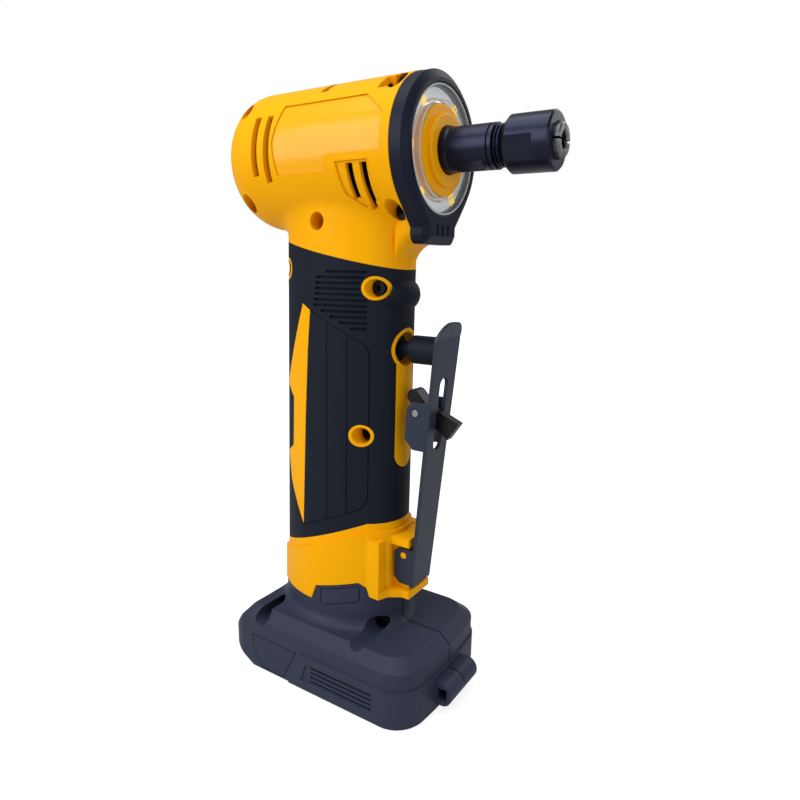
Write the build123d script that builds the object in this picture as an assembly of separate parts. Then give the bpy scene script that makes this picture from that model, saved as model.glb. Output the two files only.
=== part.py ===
"""Cordless right-angle die grinder, one STEP file per piece, in millimetres.

X runs forward along the spindle, Z runs up the grip and the housing halves meet on Y = 0.
The pieces are drawn with X = 0 under the grip and are moved to the middle of the base on export.
"""
import os
from math import asin, cos, degrees, pi, radians, sin, sqrt, tan

from build123d import *

# Fits and gaps
touch_gap = 0.3
running_gap = 0.05
slide_gap = 0.25

# Motor head
axis_z = 247.0
head_radius = 30.4
head_front = 41.0
rear_round_x = -35.7
rear_round = 18.0
wall = 2.6
neck_blend = 7.0

# Grip, a four-centre oval that widens towards the foot
grip_front = 31.6
grip_top_z = 200.0
grip_bottom_z = 70.0
grip_top_depth = 31.8
grip_bottom_depth = 32.8
grip_lean = 1.0
grip_top_width = 22.6
grip_bottom_width = 23.6
grip_end_radius = 19.0
grip_skin = 2.0
grip_edge_rear_z = 212.5
grip_edge_front_z = 199.6
grip_foot_rear_x = -34.0
grip_foot_rear_z = 62.4
grip_foot_front_x = 22.5
grip_foot_front_z = 84.6
finger_stop_z = 188.6
finger_stop_radius = 7.5
finger_stop_ring = 9.0
finger_stop_height = 3.2

# Yellow band between the grip and the foot
band_low_z = 43.0
band_swell = 1.4
band_lip = 4.0
spigot_shrink = 1.8
spigot_length = 4.0

# Rib and panel grooves in the grip
rib_count = 11
rib_pitch = 2.4
rib_width = 1.1
rib_depth = 1.2
rib_top_z = 198.2
rib_left_x = -2.4
rib_lean = 0.35
rib_corner = 5.0
rib_right_x = 22.0
rib_panel_gap = 6.2
groove_width = 0.4
groove_depth = 0.5

# Housing screws, driven along Y from the right-hand side
screw_radius = 1.7
screw_pilot = 1.3
screw_head_radius = 3.1
screw_head_height = 2.4
screw_socket = 1.3
screw_seat_y = -10.0
screw_tip_y = 7.5
pilot_spare = 0.5
pocket_radius = 3.8
boss_radius = 4.6
rim_radius = 5.1
rim_margin = 0.8
head_screw_x = -40.3
head_screw_offset = 19.4
nose_screw_x = 36.6
nose_screw_offset = 24.0
neck_screw_x = -0.7
neck_screw_z = 219.2
upper_screw_x = 25.0
upper_screw_z = 191.6
rear_screw_x = -24.6
rear_screw_z = 199.0
rear_screw_seat_y = -7.0
middle_screw_x = 19.8
middle_screw_z = 126.5

# Head vents and label panel
rear_slot_xs = (-28.7, -21.7)
rear_slot_width = 3.2
rear_slot_high = 30.4
rear_slot_lows = (-17.4, -23.0)
front_slot_xs = (21.4, 28.2)
front_slot_width = 3.4
front_slot_high = -13.0
front_slot_lows = (-42.0, -52.0)
top_slot_xs = (1.2, 31.8)
top_slot_width = 3.6
top_slot_highs = (76.0, 62.0)
top_slot_lows = (51.0, 44.0)
vent_panel_depth = 0.8
label_depth = 0.5

# Bezel, lens and lamp board around the nose
bezel_radius = 30.2
bezel_depth = 7.5
bezel_slope_width = 3.1
bezel_slope_depth = 2.1
bezel_tab_half = 13.6
bezel_tab_low = 37.0
bezel_tab_top = 30.0
bezel_tab_round = 4.0
bezel_tab_lap = 6.0
gusset_count = 4
gusset_length = 10.4
gusset_drop = 13.0
gusset_inset = 0.6
gusset_taper = 4.5
gusset_round = 7.0
gusset_lap = 14.0
lens_radius = 25.1
lens_bore = 18.3
lens_recess = 0.5
lens_ledge = 0.9
lens_thick = 1.6
lamp_floor = 2.3
lamp_board_thick = 1.6
lamp_turns = (36.0, 90.0, 144.0)
lamp_size = 3.2
lamp_circle = 21.7
lamp_length = 4.2
lamp_thick = 0.6
bezel_vent_pitch = 4.4
bezel_vent_offset = 31.2
bezel_vent_depth = 1.6
bezel_vent_width = 1.4
bezel_vent_length = 4.6

# Nose hub and bearings
hub_radius = 17.8
hub_back = 31.0
hub_front = 48.2
hub_step_radius = 14.0
hub_step_front = 50.2
hub_round = 0.8
hub_groove_depth = 1.8
hub_groove_back = 34.0
hub_groove_front = 37.5
front_bearing_radius = 14.0
front_bearing_bore = 6.0
front_bearing_width = 8.0
front_bearing_x = 39.0
rear_bearing_radius = 9.5
rear_bearing_bore = 3.5
rear_bearing_width = 6.0
rear_bearing_x = -38.0
race_land = 0.18
ball_count = 7
ball_share = 0.42

# Spindle, collet and nut
collar_radius = 9.1
collar_front = 52.4
shaft_radius = 8.7
spanner_flat = 8.0
spanner_back = 56.0
spanner_front = 68.0
spanner_turn = 65.0
relief_x = 70.2
relief_width = 0.6
relief_ring = 1.6
thread_radius = 8.1
thread_pitch = 1.5
thread_depth = 0.8
thread_count = 12
thread_end = 92.0
nut_radius = 10.75
nut_back = 76.2
nut_front = 95.7
nut_chamfer = 2.3
nut_flat = 9.73
nut_flat_front = 89.3
nut_flat_turn = 16.5
nut_mouth_radius = 6.75
nut_mouth_depth = 0.9
collet_radius = 6.35
collet_front = 98.2
collet_back = 76.2
collet_taper_radius = 5.2
collet_bore = 3.175
collet_lead_in = 0.5
collet_slits = 4
collet_slit_width = 0.9

# Motor
stator_radius = 22.4
stator_yoke = 3.2
stator_back = -19.0
stator_front = 13.0
tooth_count = 6
tooth_width = 5.0
rotor_radius = 12.2
air_gap = 0.6
magnet_thick = 2.0
magnet_count = 4
magnet_angle = 78.0
coil_build = 1.8
coil_overhang = 3.0
insulator_thick = 2.4
fan_radius = 24.5
fan_back = 18.6
fan_front = 27.0
fan_blades = 11
fan_blade_thick = 1.2
fan_disc = 1.6
hall_board_x = -24.6
hall_board_thick = 1.2
rib_thick = 3.0

# Trigger lever, lock tab and plunger
lever_thick = 1.6
lever_pivot_x = 37.1
lever_pivot_z = 69.6
lever_base_x = 42.3
lever_base_z = 54.6
lever_tilt = 5.4
lever_length = 117.2
lever_tip_length = 7.5
lever_tip_tilt = 22.0
lever_tip_round = 0.82
lever_base_half = 8.0
lever_top_half = 10.3
ear_low_z = 55.4
ear_high_z = 72.8
ear_back_x = 32.2
stub_radius = 1.6
slot_half = 3.4
slot_low_z = 124.4
slot_high_z = 154.0
tab_half = 2.1
nub_x = 37.9
nub_z = 144.6
nub_radius = 3.1
nub_half = 3.4
lock_x = 43.0
lock_z = 138.6
lock_pin_radius = 1.5
lock_hub_radius = 3.4
guard_low_z = 121.8
guard_high_z = 143.2
guard_back_x = 37.6
blade_tip_x = 60.4
blade_tip_z = 134.6
blade_heel_x = 55.0
blade_heel_z = 126.8
plunger_z = 165.0
plunger_radius = 6.3
plunger_back_x = 25.0
plunger_flange = 3.0
plunger_head_x = 35.7
plunger_mouth_radius = 7.6
plunger_mouth_depth = 4.6
plunger_stem_radius = 3.4
plunger_stem_back_x = 4.0
plunger_rim_radius = 9.3
strip_half = 6.8
strip_low_z = 110.0
spring_wire = 0.8
spring_turns = 7
spring_seat_x = 8.0
lock_spring_wire = 0.6
lock_spring_turns = 3

# Lever block at the front of the band
block_half = 9.0
block_front_x = 39.4
block_top_x = 40.7
block_nose_x = 41.2
block_low_z = 48.9
block_nose_z = 52.6
block_high_z = 78.4
block_core_half = 6.2
cheek_half = 17.6
cheek_inner = 12.6
cheek_front_x = 30.0
cheek_high_z = 77.2

# Foot with the battery socket
foot_half = 36.5
foot_front = 59.6
foot_rear = -52.3
foot_corner = 15.0
foot_rear_corner = 12.0
foot_bow = 3.0
foot_step_z = 19.0
foot_step = 0.7
foot_step_back_x = -10.6
foot_step_lean = 8.4
foot_edge = 0.9
foot_shoulder_z = 27.4
foot_deck_z = 32.0
foot_bevel = 5.6
foot_flare = 5.0
foot_neck_swell = 0.9
foot_wall = 3.0
foot_chin_x = 19.0
foot_chin_z = 10.8
foot_tail_z = 12.6
foot_tail_slope = 36.0
socket_half = 29.0
socket_front = 52.0
socket_height = 15.0
rail_low_z = 3.0
rail_height = 4.5
rail_reach = 4.0
foot_screw_front_x = 27.0
foot_screw_front_z = 33.8
foot_screw_rear_x = -28.5
foot_screw_rear_z = 29.0
foot_screw_seat_y = -8.0
foot_screw_tip_y = 7.0
foot_pocket_radius = 4.0
foot_pocket_wall = 1.6
foot_boss_radius = 4.6
pad_depth = 1.6
pad_gap = 0.4
vent_rows = 4
vent_row_pitch = 2.4
vent_row_width = 1.1
vent_row_depth = 1.4
vent_recess = 0.6
vent_low_z = 6.6
vent_back_x = 4.0
vent_front_x = 39.0
ear_panel_left_x = 1.0
ear_panel_right_x = 20.2
ear_panel_low_z = 40.8
ear_panel_high_z = 49.2
ear_panel_rise = 4.6
ear_panel_round = 1.2
loop_half = 13.1
loop_front = 67.4
loop_low_z = 4.4
loop_high_z = 15.4
loop_wall = 2.4
loop_round = 5.2
loop_hole_round = 0.8

# Electrical pieces
terminal_rear_x = -6.0
terminal_front_x = 36.0
terminal_half = 17.0
terminal_low_z = 6.0
terminal_flange = 2.0
terminal_flange_thick = 2.5
blade_count = 5
blade_pitch = 6.4
blade_length = 18.0
blade_height = 5.0
blade_thick = 1.0
blade_low_z = 8.5
board_thick = 1.6
board_half = 15.0
board_low_z = 92.0
board_high_z = 148.0
board_x = 2.0
tray_wall = 1.6
chip_rows = 3
chip_pitch = 14.0
chip_low_z = 99.0
chip_size = 9.0
chip_y = 7.0
chip_thick = 3.0
capacitor_radius = 5.0
capacitor_low_z = 110.0
capacitor_length = 20.0
capacitor_y = 6.6
switch_length = 17.0
switch_width = 11.0
switch_height = 16.0
switch_front_x = -4.8
switch_shelf_half = 8.0
lead_radius = 0.9
lead_pitch = 2.2
lead_first_y = 10.3
lead_shift = 8.0
lead_bend_low_z = 183.0
lead_bend_high_z = 204.0
lead_bend_radius = 8.0
lead_lap = 10.0
power_lead_radius = 1.3
power_lead_y = 6.0

# Shared frames
spindle_axis = Axis((0, 0, axis_z), (1, 0, 0))
profile_plane = Plane(origin=(0, 0, axis_z), x_dir=(1, 0, 0), z_dir=(0, -1, 0))
nose_plane = Plane(origin=(0, 0, axis_z), x_dir=(0, 1, 0), z_dir=(1, 0, 0))
reach = 200.0
from_bottom = (Align.CENTER, Align.CENTER, Align.MIN)

nodes = {}


def rod_x(start, end, radius, bore=0.0, height=axis_z):
    """Round bar or tube along X, on the spindle axis unless another height is given."""
    place = Pos(start, 0, height) * Rot(0, 90, 0)
    bar = place * Cylinder(radius, end - start, align=from_bottom)
    if bore:
        bar -= place * Cylinder(bore, end - start, align=from_bottom)
    return bar


def rod_y(x, z, radius, start, end):
    """Round bar along Y."""
    return Pos(x, start, z) * Rot(-90, 0, 0) * Cylinder(radius, end - start, align=from_bottom)


def block(x0, x1, y0, y1, z0, z1):
    """Box between two corners."""
    centre = Pos((x0 + x1) / 2, (y0 + y1) / 2, (z0 + z1) / 2)
    return centre * Box(x1 - x0, y1 - y0, z1 - z0)


def side_plate(outline, start, end):
    """Plate whose outline is drawn in X and Z, between two Y positions."""
    face = make_face(Polyline(*[(x, start, z) for x, z in outline], close=True))
    return extrude(face, amount=end - start, dir=(0, 1, 0))


def turned(outline):
    """Solid of revolution about the spindle from corners given as X and radius."""
    return revolve(profile_plane * make_face(Polyline(*outline, close=True)), axis=spindle_axis)


def around_spindle(shape, count):
    """Copies of a shape spread evenly about the spindle."""
    return [shape.rotate(spindle_axis, 360.0 * i / count) for i in range(count)]


def mirrored(shape):
    """The shape and its image across the split plane, as a list."""
    return [shape, mirror(shape, about=Plane.XZ)]


def halves(shape):
    """Right and left halves of a shape that is split on Y = 0."""
    right = shape & block(-reach, reach, -reach, 0, -reach, 2 * reach)
    left = shape & block(-reach, reach, 0, reach, -reach, 2 * reach)
    return right, left


def group(shapes):
    """Several separate solids kept in one node."""
    return Compound([solid for shape in shapes for solid in shape.solids()])


def oval(depth, width, end_radius):
    """Four-centre oval from half its depth along X, half its width and its end radius."""
    offset = depth - end_radius
    side_radius = (offset**2 + width**2 - end_radius**2) / (2 * (width - end_radius))
    lean = side_radius - end_radius
    x = offset + end_radius * offset / lean
    y = end_radius * (side_radius - width) / lean
    arcs = [
        ThreePointArc((x, -y), (depth, 0), (x, y)),
        ThreePointArc((x, y), (0, width), (-x, y)),
        ThreePointArc((-x, y), (-depth, 0), (-x, -y)),
        ThreePointArc((-x, -y), (0, -width), (x, -y)),
    ]
    return make_face(arcs)


def grip_front_at(z):
    """X of the grip's front line, which leans forward towards the head."""
    return grip_front + grip_lean * (z - grip_bottom_z) / (grip_top_z - grip_bottom_z)


def grip_section(z, grow=0.0):
    """Grip oval at a height, grown or shrunk all round."""
    share = (grip_top_z - z) / (grip_top_z - grip_bottom_z)
    depth = grip_top_depth + share * (grip_bottom_depth - grip_top_depth)
    width = grip_top_width + share * (grip_bottom_width - grip_top_width)
    return Pos(grip_front_at(z) - depth, 0, z) * oval(depth + grow, width + grow, grip_end_radius + grow)


def grip_form(low, high, grow=0.0):
    """Solid of the grip's outer form between two heights."""
    return loft([grip_section(low, grow), grip_section(high, grow)], ruled=True)


def head_form(shrink=0.0):
    """Motor head: a cylinder with a well rounded rear edge."""
    radius = head_radius - shrink
    rear = rear_round_x - rear_round + shrink
    flat = head_radius - rear_round
    edge = CenterArc((rear_round_x, flat), rear_round - shrink, 90, 90)
    rest = Polyline((rear, flat), (rear, 0), (head_front, 0), (head_front, radius), (rear_round_x, radius))
    return revolve(profile_plane * make_face([edge, rest]), axis=spindle_axis)


def bezel_outline():
    """Ring with a straight-sided tab below it, drawn about the spindle axis."""
    ring = Circle(bezel_radius)
    shoulder = Pos(0, -bezel_tab_top) * Rectangle(2 * bezel_tab_half, 1.0)
    teardrop = make_hull(ring.edges() + shoulder.edges())
    tab_height = bezel_tab_low - bezel_tab_top + bezel_tab_lap
    tab = RectangleRounded(2 * bezel_tab_half, tab_height, bezel_tab_round)
    return teardrop + Pos(0, tab_height / 2 - bezel_tab_low) * tab


def gusset_form():
    """Flare that carries the bezel's tab forward from the neck."""
    top = axis_z - head_radius + gusset_lap
    sections = []
    for i in range(gusset_count):
        angle = pi / 2 * i / (gusset_count - 1)
        x = head_front - gusset_length * sin(angle)
        low = axis_z - bezel_tab_low + gusset_inset - gusset_drop * (1 - cos(angle))
        height = top - low
        half = bezel_tab_half - gusset_inset - gusset_taper * (1 - cos(angle))
        face = RectangleRounded(2 * half, height, gusset_round)
        sections.append(nose_plane * Pos(0, low + height / 2 - axis_z, x) * face)
    return loft(sections)


def band_top(x_low, x_high, drop=0.0):
    """Points of the stepped line where the grip meets the band, from rear to front."""
    rear = grip_foot_rear_z - drop
    front = grip_foot_front_z - drop
    return [
        (x_low, rear),
        (grip_foot_rear_x, rear),
        (grip_foot_front_x, front),
        (x_high, front),
    ]


def band_form():
    """Swollen band under the grip, cut along the stepped line."""
    body = grip_form(band_low_z, grip_foot_front_z + 2.0, band_swell)
    line = band_top(-reach, reach, band_lip)
    body -= side_plate(line + [(reach, reach), (-reach, reach)], -reach, reach)
    return body


def lever_block_form():
    """Block at the front of the band that carries the lever, between two cheeks."""
    side = [(0, cheek_half), (cheek_front_x, cheek_half), (cheek_front_x + 2.0, cheek_inner)]
    side += [(block_nose_x - 4.0, block_half), (block_nose_x, block_half)]
    plan = side + [(x, -y) for x, y in reversed(side)]
    face = make_face(Polyline(*[(x, y, block_low_z) for x, y in plan], close=True))
    body = extrude(face, amount=block_nose_z - block_low_z, dir=(0, 0, 1))
    body += block(0, block_front_x, -block_half, block_half, block_low_z, block_high_z)
    body += block(0, block_top_x, -block_half, block_half, ear_high_z + lever_thick, block_high_z)
    for cheek in mirrored(block(0, cheek_front_x, cheek_inner, cheek_half, block_low_z, cheek_high_z)):
        body += cheek
    return body


def ear_room():
    """Space beside the lever block in which the lever's lower ears swing."""
    side = block(ear_back_x - lever_thick, reach, block_core_half, reach, block_nose_z,
                 ear_high_z + lever_thick)
    return mirrored(side)


def spigot_core():
    """Form that the housing's spigot fills inside the foot's neck."""
    return grip_form(foot_deck_z - 6.0, grip_bottom_z, -spigot_shrink)


def notch_outline(gap=0.0):
    """Side-view outline of the foot's ear in the lower edge of the band."""
    return [
        (-4.6 + gap, band_low_z - 1.0),
        (-1.4 + gap, 50.5 - gap),
        (19.8 - gap, 55.6 - gap),
        (23.2 - gap, 53.0 - gap),
        (24.9 - gap, block_low_z - gap),
        (reach, block_low_z - gap),
        (reach, band_low_z - 1.0),
    ]


def rubber_zone():
    """Outline of the rubber cover in side view, from the neck line to the band."""
    slope = (grip_edge_front_z - grip_edge_rear_z) / (2 * grip_front)
    middle = (grip_edge_front_z + grip_edge_rear_z) / 2
    top = [(reach, middle + slope * reach), (-reach, middle - slope * reach)]
    return side_plate(band_top(-reach, reach) + top, -reach, reach)


def grip_screws():
    """X, Z places and seats of the screws that pass through the rubber cover."""
    return [
        (upper_screw_x, upper_screw_z, screw_seat_y),
        (rear_screw_x, rear_screw_z, rear_screw_seat_y),
        (middle_screw_x, middle_screw_z, screw_seat_y),
    ]


def head_screws():
    """X, Z places and seats of the screws in the head and the neck."""
    places = [
        (head_screw_x, axis_z + head_screw_offset),
        (head_screw_x, axis_z - head_screw_offset),
        (nose_screw_x, axis_z + nose_screw_offset),
        (nose_screw_x, axis_z - nose_screw_offset),
        (neck_screw_x, neck_screw_z),
    ]
    return [(x, z, screw_seat_y) for x, z in places]


def stripe_outline():
    """Side-view outline of the yellow inlay at the back of the grip."""
    return [
        (-10.0, 184.0),
        (-5.0, 181.2),
        (-6.7, 163.0),
        (-8.6, 131.0),
        (-10.8, 78.8),
        (-22.5, 98.0),
        (-26.0, 111.5),
        (-19.7, 116.0),
        (-18.8, 139.5),
        (-25.8, 145.5),
        (-19.4, 160.5),
    ]


def yellow_through_grip():
    """Parts of the housing that come out to the surface of the rubber cover."""
    rims = [rod_y(x, z, rim_radius, -reach, 0) for x, z, seat in grip_screws()]
    stripes = mirrored(side_plate(stripe_outline(), -reach, 0))
    ring = rod_x(0, reach, plunger_rim_radius, height=plunger_z)
    strip = block(0, reach, -strip_half, strip_half, strip_low_z + strip_half, plunger_z)
    strip_end = rod_x(0, reach, strip_half, height=strip_low_z + strip_half)
    return rims + stripes + [ring, strip, strip_end]


def rubber_cover():
    """Rubber cover before it is split: a skin with windows for the housing."""
    low = grip_foot_rear_z - 4.0
    high = grip_edge_rear_z + 4.0
    skin = grip_form(low, high) - grip_form(low, high, -grip_skin)
    skin &= rubber_zone()
    for shape in yellow_through_grip():
        skin -= shape
    return skin


def groove_lines():
    """Ends of the panel grooves on one side of the grip, in X and Z."""
    return [
        ((-4.4, 181.2), (19.0, 169.1)),
        ((19.0, 169.1), (21.4, 167.2)),
        ((21.4, 167.2), (22.7, 164.8)),
        ((22.7, 164.8), (23.1, 161.8)),
        ((23.1, 161.8), (22.6, 96.0)),
        ((22.6, 96.0), (19.4, 91.4)),
        ((19.4, 91.4), (-10.4, 78.8)),
        ((4.5, 176.6), (4.0, 84.6)),
        ((14.1, 171.6), (13.7, 88.8)),
    ]


def grip_grooves():
    """Rib and panel grooves that are sunk into the rubber on both sides."""
    low = grip_foot_rear_z - 4.0
    high = grip_edge_rear_z + 4.0
    outside = grip_form(low, high, 1.0)
    rib_shell = outside - grip_form(low, high, -rib_depth)
    line_shell = outside - grip_form(low, high, -groove_depth)
    (x0, z0), (x1, z1) = groove_lines()[0]
    cuts = []
    for i in range(rib_count):
        z = rib_top_z - i * rib_pitch
        panel_x = x0 + (z - z0) * (x1 - x0) / (z1 - z0)
        left = max(rib_left_x + rib_lean * (rib_count // 2 - i), panel_x + rib_panel_gap)
        if i == 0:
            left += rib_corner
        rib = block(left, rib_right_x, -reach, 0, z - rib_width / 2, z + rib_width / 2)
        cuts.append(rib & rib_shell)
    for (x0, z0), (x1, z1) in groove_lines():
        run = sqrt((x1 - x0) ** 2 + (z1 - z0) ** 2)
        angle = degrees(asin((z1 - z0) / run))
        if x1 < x0:
            angle = 180.0 - angle
        centre = Pos((x0 + x1) / 2, -reach / 2, (z0 + z1) / 2)
        line = centre * Rot(0, -angle, 0) * Box(run + groove_width, reach, groove_width)
        cuts.append(line & line_shell)
    lines = []
    for cut in cuts:
        for x, z, seat in grip_screws():
            cut -= rod_y(x, z, rim_radius + rim_margin, -reach, 0)
        lines += mirrored(cut)
    return lines


def head_point(angle, radius=head_radius):
    """Y and Z of a point on the head, from its angle above the horizontal on the right side."""
    return -radius * cos(radians(angle)), axis_z + radius * sin(radians(angle))


def arc_slot(x, width, high, low, depth_in, depth_out):
    """Slot through the head's wall that follows its curve between two angles."""
    ring = rod_x(x - width / 2, x + width / 2, head_radius + depth_out, head_radius - depth_in)
    y_high, z_high = head_point(high, 2 * head_radius)
    y_low, z_low = head_point(low, 2 * head_radius)
    wedge = [(0, axis_z), (y_high, z_high), (-3 * head_radius, axis_z), (y_low, z_low)]
    face = make_face(Polyline(*[(x - width, y, z) for y, z in wedge], close=True))
    return ring & extrude(face, amount=2 * width, dir=(1, 0, 0))


def head_cuts():
    """Vents, vent panels and label recess that are cut into the head."""
    cuts = []
    for x, low in zip(rear_slot_xs, rear_slot_lows):
        cuts += mirrored(arc_slot(x, rear_slot_width, rear_slot_high, low, 2 * wall, 1.0))
    for x, low in zip(front_slot_xs, front_slot_lows):
        cuts += mirrored(arc_slot(x, front_slot_width, front_slot_high, low, 2 * wall, 1.0))
    for x, high, low in zip(top_slot_xs, top_slot_highs, top_slot_lows):
        cuts += mirrored(arc_slot(x, top_slot_width, high, low, 2 * wall, 1.0))
    shell = rod_x(rear_round_x, head_front, head_radius + 1.0, head_radius - vent_panel_depth)
    z0 = head_point(-11.0)[1]
    panel = [(15.0, z0), (31.0, z0), (33.0, z0 - 14.0), (24.0, z0 - 17.0), (16.6, z0 - 12.0)]
    cuts += mirrored(side_plate(panel, -reach, -1.0) & shell)
    label_shell = rod_x(rear_round_x, head_front, head_radius + 1.0, head_radius - label_depth)
    label = [(-16.0, 266.0), (26.6, 266.0), (36.8, 258.2), (36.8, 244.2), (10.0, 244.2), (10.0, 237.8),
             (-16.6, 237.8), (-18.6, 251.0)]
    cuts += mirrored(side_plate(label, -reach, -1.0) & label_shell)
    return cuts


def screw_pockets():
    """Head pockets, clearance holes and pilot holes of the housing screws."""
    cuts = []
    for x, z, seat in head_screws() + grip_screws():
        cuts.append(rod_y(x, z, pocket_radius, -reach, seat))
        cuts.append(rod_y(x, z, screw_radius, -reach, 0))
        cuts.append(rod_y(x, z, screw_pilot, 0, screw_tip_y + pilot_spare))
    return cuts


def housing_form():
    """Outer form of the yellow housing, before it is hollowed."""
    body = head_form() + grip_form(band_low_z + 6.0, axis_z - 11.0)
    neck = [
        edge
        for edge in body.edges().filter_by(GeomType.BSPLINE)
        if axis_z - head_radius - 2.0 < edge.center().Z < axis_z - 18.0
    ]
    body = fillet(neck, neck_blend)
    body += gusset_form()
    body += band_form() + lever_block_form()
    for room in ear_room():
        body -= room
    core = spigot_core()
    body -= side_plate(notch_outline(), -reach, reach) - core
    return body + (core & block(-reach, reach, -reach, reach, band_low_z - spigot_length, band_low_z + 1.0))


def housing_inside():
    """Space inside the housing."""
    body = head_form(wall) - rod_x(head_front - wall, head_front + 1.0, head_radius)
    body += grip_form(band_low_z - spigot_length - 1.0, axis_z - 20.0, -grip_skin - wall)
    return body


def housing_ribs(inside):
    """Walls inside the housing that carry the bearings, the stator and the screws."""
    rear_wall = rod_x(rear_bearing_x - rear_bearing_width / 2 - rib_thick,
                      rear_bearing_x + rear_bearing_width / 2, head_radius,
                      rear_bearing_radius - 1.2)
    rear_wall -= rod_x(rear_bearing_x - rear_bearing_width / 2,
                       rear_bearing_x + rear_bearing_width / 2, rear_bearing_radius)
    ribs = [rear_wall]
    for x in (stator_back + 4.0, stator_front - 4.0 - rib_thick):
        ribs.append(rod_x(x, x + rib_thick, head_radius, stator_radius))
    front_wall = rod_x(hub_back, head_front, head_radius, hub_radius)
    front_wall += rod_x(hub_groove_back, hub_groove_front, head_radius, hub_radius - hub_groove_depth)
    ribs.append(front_wall)
    for x, z, seat in head_screws() + grip_screws():
        ribs.append(rod_y(x, z, boss_radius, -head_radius, head_radius))
    guide_back = spring_seat_x
    ribs.append(rod_x(guide_back, grip_front, plunger_rim_radius, plunger_radius + slide_gap, plunger_z))
    shelf = rod_x(guide_back - rib_thick, guide_back, plunger_rim_radius,
                  plunger_stem_radius + slide_gap, plunger_z)
    ribs.append(shelf)
    board_back = hall_board_x - rib_thick
    ribs.append(rod_x(board_back, hall_board_x + hall_board_thick, head_radius, stator_radius - 2.0))
    for z in (plunger_z - switch_height / 2 - rib_thick, plunger_z + switch_height / 2):
        ribs.append(block(-reach, switch_front_x, -switch_shelf_half, switch_shelf_half, z, z + rib_thick))
    for z in (board_low_z - rib_thick, board_high_z):
        ribs.append(block(board_x - chip_thick - tray_wall, board_x, -reach, reach, z, z + rib_thick))
    motor_room = rod_x(hall_board_x, fan_front + 2.0, stator_radius)
    fan_room = rod_x(fan_back - 1.0, fan_front + 1.5, fan_radius + 1.2)
    return [(rib & inside) - motor_room - fan_room for rib in ribs]


def build_housing():
    """Yellow housing halves and their rubber covers."""
    cover = rubber_cover()
    inside = housing_inside()
    body = housing_form() - inside - cover
    for rib in housing_ribs(inside):
        body += rib
    for cut in head_cuts() + screw_pockets():
        body -= cut
    body -= rod_x(spring_seat_x, reach, plunger_radius + slide_gap, height=plunger_z)
    body -= rod_x(grip_front - plunger_mouth_depth, reach, plunger_mouth_radius, height=plunger_z)
    body -= rod_x(0, reach, plunger_stem_radius + slide_gap, height=plunger_z)
    body -= rod_x(hub_back - 1.0, head_front + 1.0, hub_radius - hub_groove_depth)
    body -= rod_x(hub_groove_front, head_front + 1.0, hub_radius)
    body -= rod_x(hub_back - 1.0, hub_groove_back, hub_radius)
    for stub in mirrored(rod_y(lever_pivot_x, lever_pivot_z, stub_radius, -lever_base_half + 0.2, 0)):
        body += stub
    right, left = halves(body)
    nodes["housing_right"] = right
    nodes["housing_left"] = left
    stop_front = grip_front_at(finger_stop_z) + finger_stop_height
    stop_x = stop_front - finger_stop_radius - finger_stop_ring
    stop = Pos(stop_x, 0, finger_stop_z) * Torus(finger_stop_ring, finger_stop_radius)
    stop -= grip_form(grip_foot_front_z, grip_edge_rear_z, -grip_skin)
    cover += stop - rod_y(upper_screw_x, upper_screw_z, rim_radius + rim_margin, -reach, 0)
    for cut in grip_grooves():
        cover -= cut
    right, left = halves(cover)
    nodes["grip_cover_right"] = right
    nodes["grip_cover_left"] = left


def build_housing_screws():
    """Socket screws that draw the housing halves together."""
    places = head_screws() + grip_screws()
    nodes["housing_screws"] = group([socket_screw(x, z, seat, screw_tip_y) for x, z, seat in places])


def socket_screw(x, z, seat, tip):
    """Screw along Y with a hexagon socket in its head."""
    top = seat - screw_head_height
    screw = rod_y(x, z, screw_head_radius, top, seat) + rod_y(x, z, screw_pilot, seat, tip)
    socket_plane = Plane(origin=(x, top, z), z_dir=(0, 1, 0))
    return screw - extrude(socket_plane * RegularPolygon(screw_socket, 6), amount=screw_head_height * 0.6)


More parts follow.
